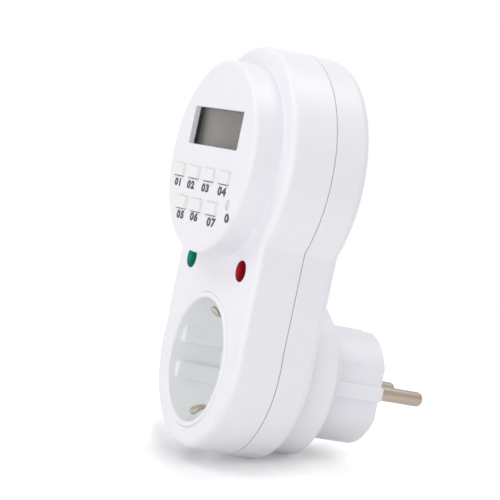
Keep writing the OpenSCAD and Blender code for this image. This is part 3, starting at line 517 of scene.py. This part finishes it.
def rear_shell():
    """The rear half of the case with the boss for the plug and the posts for the screws."""
    seam = SEAM_Y + SEAM_GAP
    outer = [(-SEAM_IN, SEAM_Y), (-SEAM_IN, seam), (-SEAM_EDGE, seam), (0, seam + SEAM_EDGE)]
    outer += arc(-BACK_ROUND, BACK_Y - BACK_ROUND, BACK_ROUND, 0, 90, 14)
    obj = solid("rear_shell", loft(OUTLINE, outer))
    fillet, edge = 0.6, 1.2     # radii at the foot of the boss and at its rim
    boss = [(BOSS_R + fillet, BACK_Y - 0.5), (BOSS_R + fillet, BACK_Y - 0.003)]
    boss += arc(BOSS_R + fillet, BACK_Y + fillet, fillet, 270, 180, 5)[1:]
    boss += arc(BOSS_R - edge, BOSS_Y - edge, edge, 0, 90, 8)
    add(obj, turned(0, 0, boss))
    cut(obj, loft(OUTLINE, [(-WALL, SEAM_Y - 1), (-WALL, BACK_IN_Y)]))
    bore = BOSS_R - WALL - 0.05     # a little less than the CAD's bore, so that the cut leaves no slivers
    cut(obj, turned(0, 0, [(bore, BACK_IN_Y - 0.5), (bore, BOSS_Y - WALL)]))
    add(obj, *[turned(x, z, [(POST_R, SEAM_Y + 0.1), (POST_R, BACK_IN_Y + 0.5)], 48) for x, z in SCREWS])
    cut(obj, hole(circle(0, 0, PLUG_R + 0.1), BOSS_Y, BOSS_Y - WALL - 1, 0.25, 1),
        *[hole(circle(x, z, SHAFT_R, 48), BACK_Y, HEAD_Y, 0.25, 1) for x, z in SCREWS])
    return obj


finish_piece(front_shell(), "case", WHITE, ["front_housing"])
finish_piece(rear_shell(), "case", WHITE, ["rear_housing"])


# ---------------------------------------------------------------- the socket
def socket():
    """The well with its rounded ring, and four pads at its sides that guide the plug."""
    bead = (RING_R - WELL_R) / 2
    tube = [(WELL_R, WELL_Y)] + arc(WELL_R + bead, RIM_Y + bead, bead, 180, 360, 16)
    tube += [(RING_R, WELL_Y)]
    obj = solid("socket_well", turned(0, 0, tube, 180, ring=True))
    y0, y1, z0, z1 = RIM_Y + 2.8, WELL_Y + 0.8, 3.0, 9.0
    corner, edge, pad_x = 1.3, 0.7, 17.3        # pad_x is where a pad ends, towards the plug
    side = [(0, WELL_R - 0.1)] + arc(-edge, pad_x + edge, edge, 0, -90, 5)
    pads = []
    for sx in (-1, 1):
        for sz in (-1, 1):
            pts = [(y, sz * z) for y, z in ((y0, z0), (y1, z0), (y1, z1), (y0, z1))][::sz]
            face = with_normals(soften(pts, [corner if y == y0 else 0 for y, z in pts], 7))
            pads.append(loft(face, [(off, sx * x) for off, x in side], axis="X"))
    add(obj, *pads)
    cut(obj, block(-26, 26, WELL_Y - 0.01, WELL_Y + 3, -26, 26))
    cut(obj, *[block(-2.6, 2.6, *CLAW_SLOT, *z) for z in ((18.5, 22.5), (-22.5, -18.5))])
    return obj


well = finish_piece(socket(), "case", [RING_WHITE, WELL_TINT], ["socket_insert"])
for poly in well.data.polygons:
    c = poly.center
    inside = math.hypot(c.x, c.z) < (WELL_R + 0.1) * MM
    if inside and c.y > (RIM_Y + 1.1) * MM:
        poly.material_index = 1


def carrier():
    """The floor of the well, with a box behind each hole for its contact."""
    disc = WELL_R + 1.85    # reaches under the well's ring
    obj = solid("well_floor", turned(0, 0, [(disc, WELL_Y), (disc, FLOOR_BACK)], 180))
    for s in (-1, 1):
        add(obj, loft(round_rect(s * PIN_X, 0, 9.8, 13, 0.3), [(0, FLOOR_BACK - 0.3), (0, -25.2)]))
        cut(obj, loft(round_rect(s * PIN_X, 0, 7.4, 10.6, 0.2), [(0, FLOOR_BACK), (0, -24)]))
    cut(obj, *[hole(circle(s * PIN_X, 0, HOLE_R, 48), WELL_Y, FLOOR_BACK + 1, 0.5) for s in (-1, 1)])
    return obj


finish_piece(carrier(), "case", WELL_TINT, ["contact_carrier"])


def strip(path, width, thick, tip=None, steps=10):
    """A bent spring strip: a smooth curve through the (y, z) path, with rounded long edges.

    Where tip is given, the strip narrows to a round end over that length.
    """
    pts = [Vector(p) for p in path]
    ends = [pts[0] * 2 - pts[1]] + pts + [pts[-1] * 2 - pts[-2]]
    line = []
    for i in range(1, len(ends) - 2):
        p0, p1, p2, p3 = ends[i - 1:i + 3]
        for k in range(steps):
            t = k / steps
            line.append(0.5 * (2 * p1 + (p2 - p0) * t + (2 * p0 - 5 * p1 + 4 * p2 - p3) * t * t
                               + (3 * p1 - p0 - 3 * p2 + p3) * t ** 3))
    line.append(pts[-1])
    verts, faces = [], []
    w, t = width / 2, thick / 2
    section = soften([(-w, -t), (w, -t), (w, t), (-w, t)], [0.18] * 4, 3)
    n, total = len(section), len(line)
    for i, p in enumerate(line):
        d = (line[min(i + 1, total - 1)] - line[max(i - 1, 0)]).normalized()
        side = Vector((-d.y, d.x))
        left = (p - line[-1]).length
        narrow = 1.0
        if tip and left < tip:
            narrow = math.sqrt(max(0.0, 1 - (1 - left / tip) ** 2)) * 0.75 + 0.25
        for u, v in section:
            q = p + side * v
            verts.append((u * narrow, q.x, q.y))
    for i in range(total - 1):
        for k in range(n):
            m = (k + 1) % n
            faces.append((i * n + k, i * n + m, (i + 1) * n + m, (i + 1) * n + k))
    faces.append(tuple(reversed(range(n))))
    faces.append(tuple(range((total - 1) * n, total * n)))
    return verts, faces


def claws():
    """The earth strip behind the well, with the claws that bend into the well above and below."""
    path = [(-38.05, 21.8), (-41.0, 22.0), (-44.2, 22.0), (-44.9, 21.0), (-49.9, 14.9), (-51.5, 14.3),
            (-53.1, 14.7), (-54.5, 15.5), (-55.7, 17.0)]
    parts = [block(-4, 4, -38.45, -37.65, -22.5, 22.5)]
    for s in (-1, 1):
        parts.append(strip([(y, s * z) for y, z in path], 4.6, 0.8, tip=1.6))
    return solid("earth_claws", *parts)


finish_piece(claws(), "case", SPRING, ["earth_strip"], weighted=False)


# ---------------------------------------------------------------- the plug
def plug():
    """The round plug: flats above and below the rib on each side, and a groove at top and bottom."""
    flat, rib = 16.3, 2.2       # how far out the flats are, and half the rib's width
    groove, groove_z, rim = 2.8, 15.6, 17.7     # half its width, its floor, and where its bevels start
    nose = 0.8
    shell = [(PLUG_R, -25.5)] + arc(PLUG_R - nose, -nose, nose, 0, 90, 8)
    obj = solid("plug_shell", turned(0, 0, shell, 180))
    for s in (-1, 1):
        for t in (-1, 1):
            cut(obj, hole(round_rect(s * (flat + 5), t * (rib + 7.5), 10, 15, 0.35), 0, -16, 0.5, 1))
        cut(obj, hole(round_rect(0, s * (groove_z + 5), 2 * groove, 10, 0.35), 0, -17, 0.4, 1))
        bevel = [(-groove, rim), (groove, rim), (groove + 7, rim + 7), (-groove - 7, rim + 7)][::s]
        cut(obj, loft(with_normals([(x, s * z) for x, z in bevel]), [(0, 1), (0, -17)]))
    cut(obj, *[turned(s * PIN_X, 0, [(2.05, -13), (2.05, 1)], 48) for s in (-1, 1)])
    return obj


finish_piece(plug(), "case", PLUG_WHITE, ["plug_body"])

# a pin has a rivet head inside, a neck through the plug's face, and a rounded tip
pin = [(0.0, -13.5), (3.2, -13.5), (3.2, -12), (2, -12), (2, 0), (PIN_R - 0.15, 0), (PIN_R, 0.15)]
pin += arc(PIN_R - PIN_TIP, PIN_END - PIN_TIP, PIN_TIP, 0, 90, 6) + [(0.0, PIN_END)]
for name, s in (("line", -1), ("neutral", 1)):
    finish_piece(solid("pin_" + name, turned(s * PIN_X, 0, pin, 64)), "case", PIN,
                 ["plug_pin_" + name])

# the (y, z) path of a side contact: through the plug, out into its groove, and back in at the front
side = [(-37.6, 12.4), (-30.0, 12.4), (-16.6, 12.4), (-16.2, 13.2), (-16.0, 15.4), (-15.4, 16.4),
        (-10.5, 17.45), (-7.5, 17.55), (-4.5, 17.45), (-1.2, 16.4)]
parts = [strip([(y, s * z) for y, z in side], 5.0, 0.8, steps=6) for s in (-1, 1)]
finish_piece(solid("side_contacts", *parts), "case", CONTACT, ["plug_earth_contacts"],
             weighted=False)


# ---------------------------------------------------------------- keys, reset button and lamps
def key_cap(name, x, z):
    """A key with rounded edges, a lip behind the front and a stem that reaches the switch."""
    edge = 0.45
    cap = [(0, FLANGE_Y[1])] + arc(-edge, POD_Y - KEY_OUT + edge, edge, 0, -90, 6)
    body = loft(round_rect(x, z, KEY_W, KEY_H, edge), cap)
    flange = loft(round_rect(x, z, KEY_W + 2 * FLANGE, KEY_H + 2 * FLANGE, 0.4), [(0, y) for y in FLANGE_Y])
    stem = block(x - 1.2, x + 1.2, POD_IN_Y + 1.0, STEM_Y, z - 1, z + 1)
    obj = solid("cap_" + name, body)
    add(obj, flange)
    add(obj, stem)
    return obj


NAMES = ["day", "hour", "minute", "second", "clock", "program", "manual"]
for name, (x, z) in zip(NAMES, UPPER + LOWER):
    finish_piece(key_cap(name, x, z), "key_" + name, CREAM, ["key_" + name])

# the reset button sits a little behind the pod's face
front, edge = POD_Y + 0.3, 0.3
button = [(0.0, front)] + arc(RESET_R - edge, front + edge, edge, -90, 0, 5)
button += [(RESET_R, FLANGE_Y[0]), (RESET_R + FLANGE, FLANGE_Y[0]), (RESET_R + FLANGE, FLANGE_Y[1]),
           (1.2, FLANGE_Y[1]), (1.2, STEM_Y), (0.0, STEM_Y)]
finish_piece(solid("cap_reset", turned(*RESET, button, 48)), "reset", RESET_GREY, ["reset_button"])

# a lens: part of a ball in front, a rounded edge, a lip behind the front and a hollow for the lit body
top, rise, edge = FACE_Y - LENS_BULGE, 0.6, 0.25
reach = LENS_R - edge
ball = (reach ** 2 + rise ** 2) / (2 * rise)
lens = [(r, top + ball - math.sqrt(ball * ball - r * r)) for r in (reach * k / 10 for k in range(11))]
lens += arc(reach, top + rise + edge, edge, -60, 0, 4)
lens += [(LENS_R, FRONT_IN_Y + 0.05), (LENS_R + 1, FRONT_IN_Y + 0.05), (LENS_R + 1, FRONT_IN_Y + 1.05),
         (2.55, FRONT_IN_Y + 1.05), (2.55, FACE_Y + 0.8), (0.0, FACE_Y + 0.8)]
for (x, z), name, mat in zip(LAMPS, ("green", "red"), (GREEN_LENS, RED_LENS)):
    cap = solid("lens_cap_" + name, turned(x, z, lens, 64))
    finish_piece(cap, "case", mat, ["lens_" + name])


# ---------------------------------------------------------------- printed numbers beside the keys
LABELS = (
    ("01", -20.1, 52.8, 2.1), ("02", -9.9, 52.7, 2.2), ("03", 1.7, 52.65, 2.2), ("04", 14.4, 52.65, 2.4),
    ("05", -13.1, 42.9, 2.2), ("06", -2.4, 43.15, 2.3), ("07", 11.1, 42.75, 2.4), ("0", 21.8, 45.1, 2.4))


def printed(text, x, z, height):
    """A plain number on the pod: widened, and flattened to a thin layer of ink."""
    curve = bpy.data.curves.new("label_" + text, "FONT")
    curve.body = text
    curve.size = height * 1.43
    curve.align_x = "CENTER"
    curve.align_y = "CENTER"
    curve.extrude = 0.006
    curve.bevel_depth = 0.215
    curve.bevel_resolution = 0
    curve.space_character = 1.18
    temp = bpy.data.objects.new("label_temp", curve)
    scene.collection.objects.link(temp)
    dg = bpy.context.evaluated_depsgraph_get()
    mesh = bpy.data.meshes.new_from_object(temp.evaluated_get(dg))
    bpy.data.objects.remove(temp)
    mesh.transform(Matrix.Diagonal((1.6, 1, 0.08, 1)))
    mesh.transform(Matrix.Rotation(math.radians(90), 4, "X"))
    mesh.transform(Matrix.Translation((x, POD_Y - 0.006, z)))
    obj = bpy.data.objects.new("label_" + text, mesh)
    scene.collection.objects.link(obj)
    mesh.transform(Matrix.Scale(MM, 4))
    mesh.materials.clear()
    mesh.materials.append(INK)
    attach(obj, "case")


for label in LABELS:
    printed(*label)


# ---------------------------------------------------------------- screws in the back
def screws():
    """Four screws with a shank, a rounded head and a cross in it."""
    edge = 0.8
    shape = [(SHANK_R, HEAD_Y - 15), (SHANK_R, HEAD_Y - 0.02), (HEAD_R, HEAD_Y)]
    shape += arc(HEAD_R - edge, HEAD_Y + 1.1, edge, 0, 90, 6) + [(0.0, HEAD_Y + 2.0)]
    obj = solid("back_screws", *[turned(x, z, shape, 48) for x, z in SCREWS])
    for w, h in ((1.5, SLOT), (SLOT, 1.5)):
        cut(obj, *[block(x - w, x + w, HEAD_Y + 1.0, HEAD_Y + 2.5, z - h, z + h) for x, z in SCREWS])
    return obj


finish_piece(screws(), "case", STEEL, ["case_screws"])

# ---------------------------------------------------------------- CAD nodes that stay, with their materials
KEPT = {
    "display_window": PANE, "lcd_panel": LCD, "lcd_frame": GREY_PLASTIC, "zebra_strips": RUBBER,
    "control_board": BOARD, "power_board": BOARD, "tact_switches": BLACK, "microcontroller": BLACK,
    "quartz_crystal": CAN, "backup_battery": CAN, "led_green": LED_GREEN, "led_red": LED_RED,
    "relay": BLUE_BOX, "film_capacitor": YELLOW_BOX, "electrolytic_capacitor": SLEEVE, "varistor": LACQUER,
    "fuse_resistor": CERAMIC, "diodes": BLACK, "transistor": BLACK, "wire_line_in": BROWN_WIRE,
    "wire_line_out": BROWN_WIRE, "wire_neutral": BLUE_WIRE, "led_wires": GREY_WIRE,
    "ribbon_cable": GREY_WIRE, "board_screws": STEEL, "socket_contact_line": BRASS,
    "socket_contact_neutral": BRASS, "neutral_link": BRASS,
}
for name in nodes:
    mat = KEPT.get(name, GREY_PLASTIC if name.startswith("plunger_") else None)
    if mat:
        slots = nodes[name].data.materials
        if not slots:
            slots.append(mat)
        for i in range(len(slots)):
            slots[i] = mat

# ---------------------------------------------------------------- floor, world and lamps
normal = Vector((0, -math.sin(LEAN), math.cos(LEAN)))
rest = normal * (-DROP * MM)
bpy.ops.mesh.primitive_circle_add(vertices=96, radius=0.30, fill_type="NGON")
floor = bpy.context.object
floor.name = "floor"
floor.rotation_mode = "QUATERNION"
floor.rotation_quaternion = Vector((0, 0, 1)).rotation_difference(normal)
# 30 mm forwards, and then back into the plane
floor.location = rest + Vector((0, -0.03, 0))
floor.location -= normal * (floor.location - rest).dot(normal)
mat = bpy.data.materials.new("floor_white")
mat.use_nodes = True
nt = mat.node_tree
nt.nodes.clear()
out = nt.nodes.new("ShaderNodeOutputMaterial")
path = nt.nodes.new("ShaderNodeLightPath")
geo = nt.nodes.new("ShaderNodeNewGeometry")
coord = nt.nodes.new("ShaderNodeTexCoord")
diffuse = nt.nodes.new("ShaderNodeBsdfDiffuse")
diffuse.inputs["Color"].default_value = (0.86, 0.86, 0.86, 1)
# The camera and glossy rays see the floor lifted to white. The lift is weaker in two soft ellipses near the
# object, a painted shadow laid over the real one; the second goes below zero and paints a darker band
# beside the object. Columns: place, turn in degrees, half axes, start of the fade, value inside and
# outside.
PAINTED_SHADOW_POOLS = (
    ((0.0232, -0.0135, 0), 91.5, (0.0384, 0.1152, 1), 0.6, 0.23, 0.55),
    ((-0.0639, -0.0052, 0), 67.6, (0.0142, 0.083, 1), 0.555, -0.242, 0.0))
lifts = []
for place, turn, axes, start, low, high in PAINTED_SHADOW_POOLS:
    spot = nt.nodes.new("ShaderNodeMapping")
    spot.vector_type = "TEXTURE"
    spot.inputs["Location"].default_value = place
    spot.inputs["Rotation"].default_value = (0, 0, math.radians(turn))
    spot.inputs["Scale"].default_value = axes
    reach = nt.nodes.new("ShaderNodeVectorMath")
    reach.operation = "LENGTH"
    nt.links.new(coord.outputs["Object"], spot.inputs["Vector"])
    nt.links.new(spot.outputs["Vector"], reach.inputs[0])
    lifts.append(map_range(nt, reach.outputs["Value"], start, 1.0, low, high, "SMOOTHSTEP"))
# the lift with the painted shadow: low inside the ellipses, so the floor is darkened there
lift = nt.nodes.new("ShaderNodeEmission")
nt.links.new(combine(nt, "ADD", *lifts, clamp=True), lift.inputs["Strength"])
both = nt.nodes.new("ShaderNodeAddShader")
nt.links.new(diffuse.outputs[0], both.inputs[0])
nt.links.new(lift.outputs[0], both.inputs[1])
seen = combine(nt, "MAXIMUM", path.outputs["Is Camera Ray"], path.outputs["Is Glossy Ray"])
lit = mix_shader(nt, seen, diffuse.outputs[0], both.outputs[0])
clear = nt.nodes.new("ShaderNodeBsdfTransparent")
nt.links.new(mix_shader(nt, geo.outputs["Backfacing"], lit, clear.outputs[0]), out.inputs["Surface"])
floor.data.materials.append(mat)

world = bpy.data.worlds.new("studio")
scene.world = world
world.use_nodes = True
nt = world.node_tree
nt.nodes.clear()
out = nt.nodes.new("ShaderNodeOutputWorld")
path = nt.nodes.new("ShaderNodeLightPath")
plain, white = [nt.nodes.new("ShaderNodeBackground") for i in range(2)]
plain.inputs["Color"].default_value = (0.965, 0.97, 1.0, 1)
plain.inputs["Strength"].default_value = 0.68
white.inputs["Color"].default_value = (1, 1, 1, 1)
white.inputs["Strength"].default_value = 1.0
seen = combine(nt, "MAXIMUM", path.outputs["Is Camera Ray"], path.outputs["Is Transmission Ray"])
seen = combine(nt, "MAXIMUM", seen, path.outputs["Is Glossy Ray"])
nt.links.new(mix_shader(nt, seen, plain.outputs[0], white.outputs[0]), out.inputs["Surface"])

MIDDLE = Vector((0, -0.04, 0.04))       # of the object, in metres


def area(name, place, size, power):
    """A round soft lamp that aims at the middle of the object."""
    data = bpy.data.lights.new(name, "AREA")
    data.shape = "DISK"
    data.size = size
    data.energy = power
    lamp = bpy.data.objects.new(name, data)
    lamp.location = place
    aim = MIDDLE - Vector(place)
    lamp.rotation_mode = "QUATERNION"
    lamp.rotation_quaternion = aim.to_track_quat("-Z", "Y")
    scene.collection.objects.link(lamp)


area("top_softbox", (0.05, 0.22, 1.0), 0.6, 2.1)
area("key_softbox", (0.78, -0.95, -0.05), 1.0, 3.9)
area("front_softbox", (-0.2, -0.95, 1.0), 0.7, 3.4)

scene.view_settings.view_transform = "Standard"
